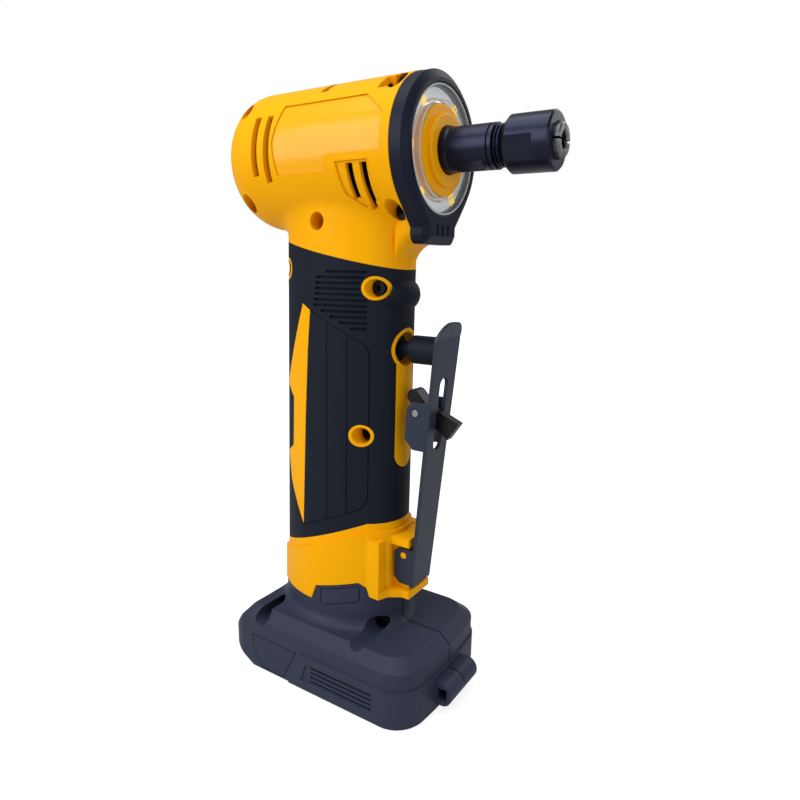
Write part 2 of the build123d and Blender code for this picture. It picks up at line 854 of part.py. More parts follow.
def build_nose():
    """Bezel, lens, lamp board, lamps and hub at the front of the head."""
    bezel_front = head_front + bezel_depth
    bezel = extrude(nose_plane * Pos(0, 0, head_front) * bezel_outline(), amount=bezel_depth)
    front = bezel.faces().sort_by(Axis.X)[-1]
    bezel = chamfer(front.outer_wire().edges(), bezel_slope_width, bezel_slope_depth, reference=front)
    bezel -= rod_x(head_front - 1.0, bezel_front + 1.0, lens_radius + touch_gap)
    for y in (-bezel_vent_pitch, 0, bezel_vent_pitch):
        vent = Box(bezel_vent_depth, bezel_vent_width, bezel_vent_length)
        bezel -= Pos(bezel_front, y, axis_z - bezel_vent_offset) * vent
    lens_front = bezel_front - lens_recess
    lens_back = lens_front - lens_thick
    board_back = head_front + lamp_floor
    board_front = board_back + lamp_board_thick
    board_radius = lens_radius - lens_ledge - touch_gap
    bezel += rod_x(head_front, lens_back, lens_radius + touch_gap, lens_radius - lens_ledge)
    bezel += rod_x(head_front, board_back, lens_radius, lens_bore)
    nodes["led_bezel"] = bezel
    nodes["led_lens"] = rod_x(lens_back, lens_front, lens_radius, lens_bore)
    nodes["led_board"] = rod_x(board_back, board_front, board_radius, lens_bore)
    lamp = block(board_front, board_front + lamp_thick, -lamp_size / 2, lamp_size / 2,
                 axis_z + lamp_circle - lamp_length / 2, axis_z + lamp_circle + lamp_length / 2)
    lamps = []
    for turn in lamp_turns:
        lamps += mirrored(lamp.rotate(spindle_axis, turn))
    nodes["led_chips"] = group(lamps)
    hub = fillet(rod_x(hub_back, hub_front, hub_radius).edges().sort_by(Axis.X)[-1], hub_round)
    hub += fillet(rod_x(hub_back, hub_step_front, hub_step_radius).edges().sort_by(Axis.X)[-1], hub_round)
    hub -= rod_x(hub_groove_back, hub_groove_front, hub_radius + 1.0, hub_radius - hub_groove_depth)
    seat_front = front_bearing_x + front_bearing_width / 2
    hub -= rod_x(hub_back - 1.0, seat_front, front_bearing_radius)
    hub -= rod_x(hub_back - 1.0, hub_step_front + 1.0, collar_radius + touch_gap)
    nodes["nose_hub"] = hub


def build_bearing(name, x, width, bore, radius):
    """Deep-groove bearing: two rings, and balls that roll between them."""
    middle = (bore + radius) / 2
    ball = ball_share * (radius - bore) / 2
    outer = rod_x(x - width / 2, x + width / 2, radius, middle + ball * (1.0 - race_land * 2))
    inner = rod_x(x - width / 2, x + width / 2, middle - ball * (1.0 - race_land * 2), bore)
    groove = revolve(profile_plane * Pos(x, middle) * Circle(ball + running_gap), axis=spindle_axis)
    nodes[name + "_outer_ring"] = outer - groove
    nodes[name + "_inner_ring"] = inner - groove
    sphere = Pos(x, 0, axis_z + middle) * Sphere(ball)
    nodes[name + "_balls"] = group(around_spindle(sphere, ball_count))


def opposite_flats(start, end, distance, turn):
    """Two blocks that cut opposite spanner flats about the spindle."""
    flat = block(start, end, -reach / 4, -distance, axis_z - reach / 4, axis_z + reach / 4)
    return [flat.rotate(spindle_axis, turn), flat.rotate(spindle_axis, turn + 180.0)]


def build_spindle():
    """Spindle from the rear bearing to the collet socket."""
    front_in = front_bearing_x - front_bearing_width / 2
    front_out = front_bearing_x + front_bearing_width / 2
    rear_in = rear_bearing_x + rear_bearing_width / 2
    rear_out = rear_bearing_x - rear_bearing_width / 2
    rotor_seat = front_bearing_bore - 1.6
    thread_start = relief_x + relief_width + relief_ring
    outline = [
        (rear_out - 1.0, 0),
        (rear_out - 1.0, rear_bearing_bore),
        (rear_in, rear_bearing_bore),
        (rear_in, rotor_seat),
        (fan_back - 2.0, rotor_seat),
        (fan_back - 2.0, front_bearing_bore - 0.6),
        (front_in - 1.5, front_bearing_bore - 0.6),
        (front_in - 1.5, front_bearing_bore),
        (front_out, front_bearing_bore),
        (front_out, collar_radius - 1.2),
        (hub_step_front - 3.0, collar_radius - 1.2),
        (hub_step_front - 3.0, collar_radius),
        (collar_front, collar_radius),
        (collar_front + 0.8, shaft_radius),
        (relief_x, shaft_radius),
        (relief_x, shaft_radius - relief_width),
        (relief_x + relief_width, shaft_radius - relief_width),
        (relief_x + relief_width, shaft_radius),
        (thread_start, shaft_radius),
        (thread_start, thread_radius - thread_depth),
        (thread_end, thread_radius - thread_depth),
        (thread_end, 0),
    ]
    spindle = turned(outline)
    for flat in opposite_flats(spanner_back, spanner_front, spanner_flat, spanner_turn):
        spindle -= flat
    first = thread_start + thread_pitch * 0.75
    for i in range(thread_count):
        x = first + i * thread_pitch
        ridge = [
            (x - thread_pitch * 0.4, thread_radius - thread_depth - 0.1),
            (x - thread_pitch * 0.1, thread_radius),
            (x + thread_pitch * 0.1, thread_radius),
            (x + thread_pitch * 0.4, thread_radius - thread_depth - 0.1),
        ]
        spindle += turned(ridge)
    socket = [
        (collet_back - 1.0, 0),
        (collet_back - 1.0, collet_taper_radius + slide_gap),
        (thread_end + 1.0, collet_radius - 0.6 + slide_gap),
        (thread_end + 1.0, 0),
    ]
    nodes["spindle"] = spindle - turned(socket)


def build_collet():
    """Slit collet and the nut that closes it."""
    step = thread_end + 1.4
    mouth_back = nut_front - nut_mouth_depth
    throat = thread_radius + running_gap
    collet = turned([
        (collet_back, 0),
        (collet_back, collet_taper_radius),
        (thread_end, collet_radius - 0.6),
        (step, collet_radius - 0.6),
        (mouth_back, collet_radius),
        (collet_front - 0.6, collet_radius),
        (collet_front, collet_radius - 0.6),
        (collet_front, collet_bore + collet_lead_in),
        (collet_front - collet_lead_in, collet_bore),
        (collet_front - collet_lead_in, 0),
    ])
    collet -= rod_x(collet_back - 1.0, collet_front + 1.0, collet_bore)
    for i in range(collet_slits // 2):
        slit = block(collet_back + 6.0, collet_front + 1.0, -collet_slit_width / 2, collet_slit_width / 2,
                     axis_z - reach / 4, axis_z + reach / 4)
        collet -= slit.rotate(spindle_axis, 90.0 + 180.0 * i / (collet_slits // 2))
    nodes["collet"] = collet
    nut = turned([
        (nut_back, throat),
        (nut_back, nut_radius - nut_chamfer),
        (nut_back + nut_chamfer, nut_radius),
        (nut_front - 0.7, nut_radius),
        (nut_front, nut_radius - 0.7),
        (nut_front, nut_mouth_radius),
        (mouth_back, nut_mouth_radius),
        (mouth_back, collet_radius + running_gap),
        (step + 0.4, collet_radius - 0.2),
        (step, throat),
    ])
    for flat in opposite_flats(nut_back - 1.0, nut_flat_front, nut_flat, nut_flat_turn):
        nut -= flat
    nodes["collet_nut"] = nut


def build_motor():
    """Brushless motor: stator, windings, rotor, fan and sensor board."""
    bore = rotor_radius + air_gap
    stator = rod_x(stator_back, stator_front, stator_radius, stator_radius - stator_yoke)
    tooth = block(stator_back, stator_front, -tooth_width / 2, tooth_width / 2, axis_z + bore + 0.8,
                  axis_z + stator_radius - 0.5)
    shoe = rod_x(stator_back, stator_front, bore + 1.6, bore)
    shoe &= block(stator_back, stator_front, -tooth_width, tooth_width, axis_z, axis_z + reach / 4)
    for piece in around_spindle(tooth + shoe, tooth_count):
        stator += piece
    nodes["stator_core"] = stator
    coil_low = axis_z + bore + 2.2
    coil_high = axis_z + stator_radius - stator_yoke - 1.0
    half = tooth_width / 2
    outer = block(stator_back - coil_overhang, stator_front + coil_overhang, -half - coil_build,
                  half + coil_build, coil_low, coil_high)
    outer = fillet(outer.edges().filter_by(Axis.Z), coil_build * 0.9)
    inner = block(stator_back, stator_front, -half, half, coil_low, coil_high)
    nodes["stator_coils"] = group(around_spindle(outer - inner, tooth_count))
    rings = []
    for x in (stator_back - insulator_thick, stator_front):
        rings.append(rod_x(x, x + insulator_thick, stator_radius - 0.4, stator_radius - stator_yoke + 0.2))
    nodes["stator_insulators"] = group(rings)
    seat = front_bearing_bore - 1.6
    nodes["rotor_core"] = rod_x(stator_back, stator_front, rotor_radius - magnet_thick, seat)
    magnet = rod_x(stator_back, stator_front, rotor_radius, rotor_radius - magnet_thick)
    y = reach / 4 * sin(radians(magnet_angle / 2))
    z = reach / 4 * cos(radians(magnet_angle / 2))
    corners = [(stator_back, 0, axis_z), (stator_back, -y, axis_z + z), (stator_back, y, axis_z + z)]
    face = make_face(Polyline(*corners, close=True))
    magnet &= extrude(face, amount=stator_front - stator_back, dir=(1, 0, 0))
    nodes["rotor_magnets"] = group(around_spindle(magnet, magnet_count))
    fan = rod_x(fan_back, fan_back + fan_disc, fan_radius, front_bearing_bore - 0.6)
    fan += rod_x(fan_back, fan_front, front_bearing_bore + 2.4, front_bearing_bore - 0.6)
    blade = block(fan_back, fan_front, -fan_blade_thick / 2, fan_blade_thick / 2,
                  axis_z + front_bearing_bore + 1.4, axis_z + fan_radius - 0.6)
    for piece in around_spindle(blade, fan_blades):
        fan += piece
    nodes["cooling_fan"] = fan
    board = rod_x(hall_board_x, hall_board_x + hall_board_thick, stator_radius, rotor_radius - 3.0)
    nodes["sensor_board"] = board


def lever_line(z, offset=0.0):
    """X of the lever plate's outer face at a height, or of a plane behind it."""
    return lever_base_x + (z - lever_base_z) * tan(radians(lever_tilt)) - offset / cos(radians(lever_tilt))


def lever_half(z):
    """Half the lever plate's width at a height."""
    share = (z - lever_base_z) / (lever_length + lever_tip_length)
    return lever_base_half + share * (lever_top_half - lever_base_half)


def build_lever():
    """Bent-plate lever with two pivot ears and two guard ears for the lock tab."""
    knee_z = lever_base_z + lever_length * cos(radians(lever_tilt))
    tip_z = knee_z + lever_tip_length * cos(radians(lever_tip_tilt))
    knee_x = lever_line(knee_z)
    tip_x = knee_x + lever_tip_length * sin(radians(lever_tip_tilt))
    back = lever_thick / cos(radians(lever_tilt))
    profile = [
        (lever_base_x, lever_base_z),
        (knee_x, knee_z),
        (tip_x, tip_z),
        (tip_x - back, tip_z),
        (knee_x - back, knee_z),
        (lever_base_x - back, lever_base_z),
    ]
    plate = side_plate(profile, -reach / 4, reach / 4)
    top_half = lever_half(tip_z)
    front = make_face(Polyline((0, -lever_base_half, lever_base_z), (0, lever_base_half, lever_base_z),
                               (0, top_half, tip_z), (0, -top_half, tip_z), close=True))
    front = fillet(front.vertices().sort_by(Axis.Z)[-2:], top_half * lever_tip_round)
    plate &= extrude(front, amount=reach, dir=(1, 0, 0))
    slot = block(0, reach, -slot_half, slot_half, slot_low_z, slot_high_z - slot_half)
    slot += rod_x(0, reach, slot_half, height=slot_high_z - slot_half)
    slot += rod_x(0, reach, slot_half, height=slot_low_z)
    plate -= slot
    inner = lever_thick * 0.5
    ear = [
        (ear_back_x, ear_low_z + 3.0),
        (ear_back_x + 3.0, ear_low_z),
        (lever_line(ear_low_z, inner), ear_low_z),
        (lever_line(ear_high_z, inner), ear_high_z),
        (ear_back_x + 2.0, ear_high_z),
        (ear_back_x, ear_high_z - 2.0),
    ]
    ears = mirrored(side_plate(ear, -lever_base_half, -lever_base_half + lever_thick))
    guard_half = lever_half((guard_low_z + guard_high_z) / 2)
    guard = [
        (guard_back_x, guard_low_z + 4.6),
        (guard_back_x + 4.0, guard_low_z),
        (lever_line(guard_low_z, inner), guard_low_z),
        (lever_line(guard_high_z, inner), guard_high_z),
        (guard_back_x + 3.6, guard_high_z),
        (guard_back_x + 0.8, guard_high_z - 2.8),
    ]
    guards = mirrored(side_plate(guard, -guard_half, -guard_half + lever_thick))
    lever = plate
    for piece in ears + guards:
        lever += piece
    lever -= rod_y(lever_pivot_x, lever_pivot_z, stub_radius + running_gap, -reach / 4, reach / 4)
    lever -= rod_y(lock_x, lock_z, lock_pin_radius, -reach / 4, reach / 4)
    nodes["trigger_lever"] = lever
    pin = rod_y(lock_x, lock_z, lock_pin_radius, -guard_half - 0.6, guard_half + 0.6)
    nodes["lock_pin"] = pin
    nub = rod_y(nub_x, nub_z, nub_radius, -nub_half, nub_half)
    away = Vector(lock_x - nub_x, 0, lock_z - nub_z).normalized()
    side = Vector(-away.Z, 0, away.X)
    arm = [
        (nub_x + side.X * nub_radius, nub_z + side.Z * nub_radius),
        (lock_x + side.X * lock_hub_radius, lock_z + side.Z * lock_hub_radius),
        (lock_x - side.X * lock_hub_radius, lock_z - side.Z * lock_hub_radius),
        (nub_x - side.X * nub_radius, nub_z - side.Z * nub_radius),
    ]
    tab = nub + side_plate(arm, -nub_half, nub_half)
    tab += rod_y(lock_x, lock_z, lock_hub_radius, -nub_half, nub_half)
    blade = [
        (lock_x, lock_z + lock_hub_radius),
        (blade_tip_x, blade_tip_z),
        (blade_heel_x, blade_heel_z),
        (lock_x + 4.0, lock_z - lock_hub_radius - 2.6),
        (lock_x, lock_z - lock_hub_radius),
    ]
    tab += side_plate(blade, -tab_half, tab_half)
    tab -= rod_y(lock_x, lock_z, lock_pin_radius + running_gap, -reach / 4, reach / 4)
    nodes["lock_tab"] = tab
    spring_start = nub_half + 0.4
    spring_end = guard_half - lever_thick - 0.3
    frame = Plane(origin=(lock_x, spring_start, lock_z), x_dir=(1, 0, 0), z_dir=(0, 1, 0))
    radius = lock_pin_radius + touch_gap + lock_spring_wire / 2
    nodes["lock_spring"] = frame * coil_spring(spring_end - spring_start, radius, lock_spring_wire,
                                               lock_spring_turns)


def coil_spring(span, radius, wire, turns):
    """Open coil along Z from the origin, one tube on quarter-turn biarcs."""
    steps = turns * 4
    length = span - wire
    lead = length / (2 * pi * turns)

    def at(i):
        angle = pi * i / 2
        place = Vector(radius * cos(angle), radius * sin(angle), wire / 2 + length * i / steps)
        return place, Vector(-radius * sin(angle), radius * cos(angle), lead).normalized()

    edges = []
    for i in range(steps):
        p0, t0 = at(i)
        p1, t1 = at(i + 1)
        chord = p1 - p0
        both = t0 + t1
        spread = 2 * (1 - t0.dot(t1))
        d = (-chord.dot(both) + sqrt(chord.dot(both) ** 2 + spread * chord.dot(chord))) / spread
        middle = (p0 + t0 * d + p1 - t1 * d) * 0.5
        turn = (p1 - t1 * d - p0 - t0 * d).normalized()
        edges.append(TangentArc(p0, middle, tangent=t0))
        edges.append(TangentArc(middle, p1, tangent=turn))
    place, heading = at(0)
    ring = Plane(origin=place, z_dir=heading) * Circle(wire / 2)
    print("gap between spring turns", round(length / turns - wire, 2))
    return sweep(ring, path=Wire(edges))


def build_plunger():
    """Switch plunger, its return spring and the switch behind it."""
    front = lever_line(plunger_z - plunger_radius, lever_thick) - touch_gap
    plunger = rod_x(plunger_head_x, front, plunger_radius, height=plunger_z)
    plunger = chamfer(plunger.edges().filter_by(GeomType.CIRCLE), 0.6)
    plunger += rod_x(plunger_back_x, plunger_back_x + plunger_flange, plunger_radius, height=plunger_z)
    plunger += rod_x(plunger_stem_back_x, front - 1.0, plunger_stem_radius, height=plunger_z)
    nodes["plunger"] = plunger
    radius = (plunger_stem_radius + plunger_radius) / 2
    frame = Plane(origin=(spring_seat_x, 0, plunger_z), x_dir=(0, 1, 0), z_dir=(1, 0, 0))
    spring = coil_spring(plunger_back_x - spring_seat_x, radius, spring_wire, spring_turns)
    nodes["plunger_spring"] = frame * spring
    body = block(switch_front_x - switch_length, switch_front_x, -switch_width / 2, switch_width / 2,
                 plunger_z - switch_height / 2, plunger_z + switch_height / 2)
    body = fillet(body.edges(), 0.8)
    nodes["trigger_switch"] = body


def foot_plan(inset=0.0):
    """Plan outline of the foot: bowed front, rounded corners."""
    front = foot_front - inset
    rear = foot_rear + inset
    half = foot_half - inset
    corner = foot_corner - inset * 0.6
    tail = foot_rear_corner - inset * 0.6
    nose = front - foot_bow
    face = make_face([
        Polyline((nose, -half), (rear, -half), (rear, half), (nose, half)),
        ThreePointArc((nose, half), (front, 0), (nose, -half)),
    ])
    points = face.vertices().sort_by(Axis.X)
    face = fillet(points[-2:], corner)
    points = face.vertices().sort_by(Axis.X)
    return fillet(points[:2], tail)


def foot_form():
    """Outer form of the foot: walls, step, bevel, deck and neck."""
    upper = foot_plan(foot_step)
    body = extrude(upper, amount=foot_shoulder_z)
    body = chamfer(body.faces().sort_by(Axis.Z)[0].edges(), foot_edge)
    step = extrude(foot_plan(), amount=foot_step_z)
    step = chamfer(step.faces().sort_by(Axis.Z)[0].edges(), foot_edge)
    step_line = [(foot_step_back_x, 0), (foot_step_back_x + foot_step_lean, foot_step_z)]
    body += step & side_plate(step_line + [(reach, foot_step_z), (reach, 0)], -reach, reach)
    deck = foot_plan(foot_step + foot_bevel)
    body += loft([Pos(0, 0, foot_shoulder_z) * upper, Pos(0, 0, foot_deck_z) * deck], ruled=True)
    body += foot_neck() & block(-reach, reach, -reach, reach, 0, band_low_z)
    body = fillet(neck_edges(body), foot_flare)
    rear = foot_rear + foot_step
    chin = [
        (-reach, -1.0),
        (rear + foot_chin_x, -1.0),
        (rear + foot_chin_x, 0),
        (rear, foot_chin_z),
        (-reach, foot_chin_z),
    ]
    return body - side_plate(chin, -reach, reach) - foot_tail()


def foot_tail(inset=0.0):
    """Space behind the sloping tail of the foot, or behind a plane a wall further in."""
    run = (foot_deck_z + 1.0 - foot_tail_z) * tan(radians(foot_tail_slope))
    start = foot_rear + foot_step + inset / cos(radians(foot_tail_slope))
    slope = [(start, foot_tail_z), (start + run, foot_deck_z + 1.0)]
    return side_plate(slope + [(-reach, foot_deck_z + 1.0), (-reach, foot_tail_z)], -reach, reach)


def foot_neck():
    """Form of the foot's neck, carried on up to the top of its ears."""
    return grip_form(foot_deck_z - 1.0, grip_bottom_z, foot_neck_swell)


def neck_edges(body):
    """Edges where the foot's neck stands on its deck."""
    found = []
    for edge in body.edges():
        box = edge.bounding_box()
        flat = box.size.Z < 0.01 and abs(box.min.Z - foot_deck_z) < 0.01
        limit = grip_bottom_depth + band_swell + 1.0
        near = abs(edge.center().X) < limit and box.max.Y < grip_bottom_width + 3.0
        if flat and near and box.min.Y > -grip_bottom_width - 3.0:
            found.append(edge)
    return found


def foot_screws():
    """X, Z places of the screws that close the foot."""
    return [(foot_screw_front_x, foot_screw_front_z), (foot_screw_rear_x, foot_screw_rear_z)]


def pad_outline():
    """Side-view outline of the soft pads on the foot."""
    return [(-34.2, 18.5), (-5.2, 18.5), (-13.5, 1.8), (-28.4, 1.8), (-34.2, 12.2)]


def vent_outline():
    """Side-view outline of the vent panel on the foot."""
    return [(1.4, 15.0), (41.0, 16.0), (40.4, 5.4), (-2.0, 5.6)]


def tether_loop():
    """Closed loop at the front of the foot and the passage through it."""
    outer = block(socket_front, loop_front, -loop_half, loop_half, loop_low_z, loop_high_z)
    edges = [edge for edge in outer.edges().filter_by(Axis.Y) if edge.center().X > foot_front]
    outer = fillet(edges, loop_round)
    hole = block(foot_front + touch_gap, loop_front - loop_wall, -reach, reach, loop_low_z + loop_wall,
                 loop_high_z - loop_wall)
    return outer, fillet(hole.edges().filter_by(Axis.Y), loop_hole_round)


def foot_inside():
    """Battery socket below the ceiling, wiring space above it and the bore of the neck."""
    ceiling = socket_height + foot_wall
    socket = block(-reach, socket_front, -socket_half, socket_half, -1.0, socket_height)
    rail = block(-reach, socket_front, socket_half - rail_reach, socket_half, rail_low_z,
                 rail_low_z + rail_height)
    for piece in mirrored(rail):
        socket -= piece
    room = foot_plan(foot_step + foot_bevel + foot_wall)
    room = extrude(Pos(0, 0, ceiling) * room, amount=foot_deck_z - foot_wall - ceiling)
    room -= foot_tail(foot_wall)
    passage = block(terminal_rear_x, terminal_front_x, -terminal_half, terminal_half, 0, ceiling + 1.0)
    return socket + passage + room


def ear_panel_groove():
    """Groove around the plain panel on each side of the foot's neck."""
    outline = [
        (ear_panel_left_x, ear_panel_low_z),
        (ear_panel_right_x, ear_panel_low_z + ear_panel_rise),
        (ear_panel_right_x, ear_panel_high_z + ear_panel_rise),
        (ear_panel_left_x, ear_panel_high_z),
    ]
    face = make_face(Polyline(*[(x, -reach, z) for x, z in outline], close=True))
    face = fillet(face.vertices(), ear_panel_round)
    ring = face - offset(face, -groove_width)
    line = extrude(ring, amount=reach, dir=(0, 1, 0))
    return mirrored(line - grip_form(foot_deck_z - 1.0, grip_bottom_z, foot_neck_swell - groove_depth))


def build_foot():
    """Foot halves, their pads and the screws that close them."""
    outside = foot_form()
    core = spigot_core()
    body = outside - foot_inside() - core
    for x, z in foot_screws():
        body += rod_y(x, z, foot_pocket_radius + foot_pocket_wall, -reach, foot_screw_seat_y) & outside
        boss = rod_y(x, z, foot_boss_radius, foot_screw_seat_y - foot_wall, -foot_screw_seat_y)
        body += boss & outside
    body -= core & block(-reach, reach, -reach, reach, band_low_z - spigot_length, reach)
    for x, z in foot_screws():
        body -= rod_y(x, z, foot_pocket_radius, -reach, foot_screw_seat_y)
        body -= rod_y(x, z, screw_radius, -reach, 0)
        body -= rod_y(x, z, screw_pilot, 0, foot_screw_tip_y + pilot_spare)
    ear = (foot_neck() - core) & side_plate(notch_outline(touch_gap), -reach, reach)
    body += ear & block(-reach, reach, -reach, reach, band_low_z, reach)
    pad_face = foot_half - foot_step
    pad_floor = pad_face - pad_depth
    pads = side_plate(pad_outline(), -reach, -pad_floor)
    vent = side_plate(vent_outline(), -reach, -foot_half + vent_recess)
    for i in range(vent_rows):
        z = vent_low_z + i * vent_row_pitch
        vent += block(vent_back_x, vent_front_x, -reach, -foot_half + vent_recess + vent_row_depth,
                      z - vent_row_width / 2, z + vent_row_width / 2)
    for cut in mirrored(pads) + mirrored(vent) + ear_panel_groove():
        body -= cut
    loop, hole = tether_loop()
    body = body + loop - hole
    right, left = halves(body)
    nodes["foot_right"] = right
    nodes["foot_left"] = left
    face = make_face(Polyline(*[(x, -pad_face, z) for x, z in pad_outline()], close=True))
    pad = extrude(offset(face, -pad_gap), amount=pad_depth, dir=(0, 1, 0))
    nodes["foot_side_pads"] = group(mirrored(pad))
    screws = [socket_screw(x, z, foot_screw_seat_y, foot_screw_tip_y) for x, z in foot_screws()]
    nodes["foot_screws"] = group(screws)


def build_terminals():
    """Terminal block that hangs from the socket's ceiling, with its blades."""
    ceiling = socket_height + foot_wall
    body = block(terminal_rear_x, terminal_front_x, -terminal_half, terminal_half, terminal_low_z, ceiling)
    wide = terminal_flange
    body += block(terminal_rear_x - wide, terminal_front_x + wide, -terminal_half - wide,
                  terminal_half + wide, ceiling, ceiling + terminal_flange_thick)
    nodes["terminal_block"] = body
    blades = []
    for i in range(blade_count):
        y = (i - (blade_count - 1) / 2) * blade_pitch
        blades.append(block(terminal_rear_x - blade_length, terminal_rear_x, y - blade_thick / 2,
                            y + blade_thick / 2, blade_low_z, blade_low_z + blade_height))
    nodes["terminal_blades"] = group(blades)


def build_controller():
    """Controller board in its tray, with power transistors and capacitors."""
    front = board_x + board_thick
    nodes["controller_board"] = block(board_x, front, -board_half, board_half, board_low_z, board_high_z)
    plate_front = board_x - chip_thick
    plate_back = plate_front - tray_wall
    side = board_half + tray_wall
    tray = block(plate_back, front, -side, side, board_low_z, board_high_z)
    tray -= block(plate_front, reach, -board_half, board_half, 0, reach)
    nodes["controller_tray"] = tray
    chips = []
    for i in range(chip_rows):
        z = chip_low_z + i * chip_pitch
        chip = block(plate_front, board_x, chip_y - chip_size / 2, chip_y + chip_size / 2, z, z + chip_size)
        chips += mirrored(chip)
    nodes["power_transistors"] = group(chips)
    can = Pos(front + capacitor_radius, capacitor_y, capacitor_low_z)
    can *= Cylinder(capacitor_radius, capacitor_length, align=from_bottom)
    nodes["capacitors"] = group(mirrored(can))


def build_leads():
    """Leads from the terminals to the board and from the board to the motor."""
    front = board_x + board_thick
    power_low = socket_height + foot_wall + terminal_flange_thick
    power = Pos(front + power_lead_radius, power_lead_y, power_low)
    power *= Cylinder(power_lead_radius, board_low_z + lead_lap - power_low, align=from_bottom)
    nodes["power_leads"] = group(mirrored(power))
    x = front + lead_radius
    motor_x = stator_front + insulator_thick / 2
    ring_radius = stator_radius - 0.4
    leads = []
    for i in range(3):
        y = lead_first_y + i * lead_pitch
        end_y = y - lead_shift
        top = (motor_x, end_y, axis_z - ring_radius + 3.0)
        path = FilletPolyline((x, y, board_high_z - lead_lap), (x, y, lead_bend_low_z),
                              (motor_x, end_y, lead_bend_high_z), top, radius=lead_bend_radius)
        start = Plane(origin=(x, y, board_high_z - lead_lap), z_dir=(0, 0, 1))
        lead = sweep(start * Circle(lead_radius), path=path)
        leads.append(lead - rod_x(stator_back, fan_back, ring_radius))
    nodes["motor_leads"] = group(leads)


def export_all():
    """Write each node's STEP file, moved so that the origin is the middle of the tool's base."""
    os.makedirs("parts", exist_ok=True)
    middle_x = (collet_front + rear_round_x - rear_round) / 2
    for name, shape in nodes.items():
        export_step(Pos(-middle_x, 0, 0) * shape, os.path.join("parts", name + ".step"))


if __name__ == "__main__":
    build_housing()
    build_housing_screws()
    build_nose()
    build_bearing("front_bearing", front_bearing_x, front_bearing_width, front_bearing_bore,
                  front_bearing_radius)
    build_bearing("rear_bearing", rear_bearing_x, rear_bearing_width, rear_bearing_bore,
                  rear_bearing_radius)
    build_spindle()
    build_collet()
    build_motor()
    build_lever()
    build_plunger()
    build_foot()
    build_terminals()
    build_controller()
    build_leads()
    export_all()
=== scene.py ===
"""Finishes, small trim, studio and camera for the cordless die grinder, laid out as an add-on."""

from math import cos, pi, sin

import bmesh
import bpy
from mathutils import Matrix, Vector


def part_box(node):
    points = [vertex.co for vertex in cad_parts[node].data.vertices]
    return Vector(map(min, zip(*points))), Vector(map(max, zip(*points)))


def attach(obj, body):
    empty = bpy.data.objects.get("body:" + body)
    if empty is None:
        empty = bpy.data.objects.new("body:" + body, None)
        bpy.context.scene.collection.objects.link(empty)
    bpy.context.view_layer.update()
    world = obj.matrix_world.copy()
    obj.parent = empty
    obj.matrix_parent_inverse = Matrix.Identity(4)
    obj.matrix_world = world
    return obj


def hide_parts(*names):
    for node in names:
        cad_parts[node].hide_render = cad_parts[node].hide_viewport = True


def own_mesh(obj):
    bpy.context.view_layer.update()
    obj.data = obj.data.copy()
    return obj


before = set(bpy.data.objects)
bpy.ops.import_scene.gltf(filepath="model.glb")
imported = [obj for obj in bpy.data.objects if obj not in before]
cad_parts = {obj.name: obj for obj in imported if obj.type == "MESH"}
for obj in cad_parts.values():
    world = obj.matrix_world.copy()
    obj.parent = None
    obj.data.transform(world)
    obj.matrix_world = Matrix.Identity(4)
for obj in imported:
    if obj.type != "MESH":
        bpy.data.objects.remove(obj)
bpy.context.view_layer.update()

bl_info = {
    "name": "Die Grinder Looks",
    "version": (1, 0, 0),
    "blender": (4, 5, 0),
    "location": "3D View > Sidebar > Grinder",
    "description": "Finishes and small trim for a cordless right-angle die grinder",
    "category": "Object",
}

SPINDLE_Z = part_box("spindle")[0][2] / 2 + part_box("spindle")[1][2] / 2
SPINDLE_AXIS = (1, 0, 0)

# Slow changes of tone: the darker plastic, the brighter metal and the spread of their roughness.
PLASTIC_DEEP = 0.90
PLASTIC_SPREAD = 0.06
METAL_BRIGHT = 1.25
METAL_SPREAD = 0.05

# The head's label field has a thin gloss coat.
LABEL_COAT = 0.45
LABEL_COAT_ROUGH = 0.2

# The clear lens passes light on to the board and the chips. The board also glows with painted light, which
# stands in for light that the clear ring gathers and scatters on to it.
LENS_COVER = 0.14
BEAD_COVER = 0.55
BOARD_PAINTED_LIGHT = 0.20
CHIP_GLOW = 0.7

# The floor's paper glows with painted light that grows to full white between these distances from the tool, so
# the floor is darker near the tool.
PAPER_NEAR = 0.15
PAPER_FAR = 0.75
PAPER_WHITE = 1.1

RING_STEPS = 96
BEAD_CORNERS = 12
BEAD_PROUD = 0.6
WIRE_CORNERS = 12
COIL_STEPS = 32


def colour(label, note, value):
    """Property for the colour of a finish."""
    return bpy.props.FloatVectorProperty(name=label, description=note, subtype="COLOR", size=3, default=value)


def length(label, note, value):
    """Property for a size in metres."""
    return bpy.props.FloatProperty(name=label, description=note, unit="LENGTH", default=value)


def power(label, note, value):
    """Property for a light's power in watts."""
    return bpy.props.FloatProperty(name=label, description=note, unit="POWER", default=value)


def angle(label, note, value):
    """Property for an angle of the camera."""
    return bpy.props.FloatProperty(name=label, description=note, subtype="ANGLE", default=value)


class GrinderColours(bpy.types.PropertyGroup):
    """Colours of the finishes that show on the outside."""

    shell: colour("Shell", "Moulded housing and nose hub", (0.93, 0.415, 0.0))
    grip: colour("Grip", "Rubber covers", (0.0080, 0.0112, 0.0200))
    foot: colour("Foot", "Battery foot", (0.030, 0.035, 0.066))
    bezel: colour("Bezel", "Lamp bezel", (0.0065, 0.0095, 0.0225))
    lamp: colour("Lamp", "Lamp chips", (1.0, 0.64, 0.0))
    steel: colour("Black steel", "Spindle and nut", (0.019, 0.021, 0.037))
    collet: colour("Collet", "Collet", (0.15, 0.155, 0.17))
    lever: colour("Lever", "Painted lever", (0.021, 0.030, 0.052))
    tab: colour("Tab", "Lock tab", (0.006, 0.006, 0.009))
    plunger: colour("Plunger", "Plunger", (0.008, 0.011, 0.019))
    pin: colour("Pin", "Lock pin and springs", (0.30, 0.30, 0.32))
    screws: colour("Screws", "Housing and foot screws", (0.012, 0.012, 0.016))


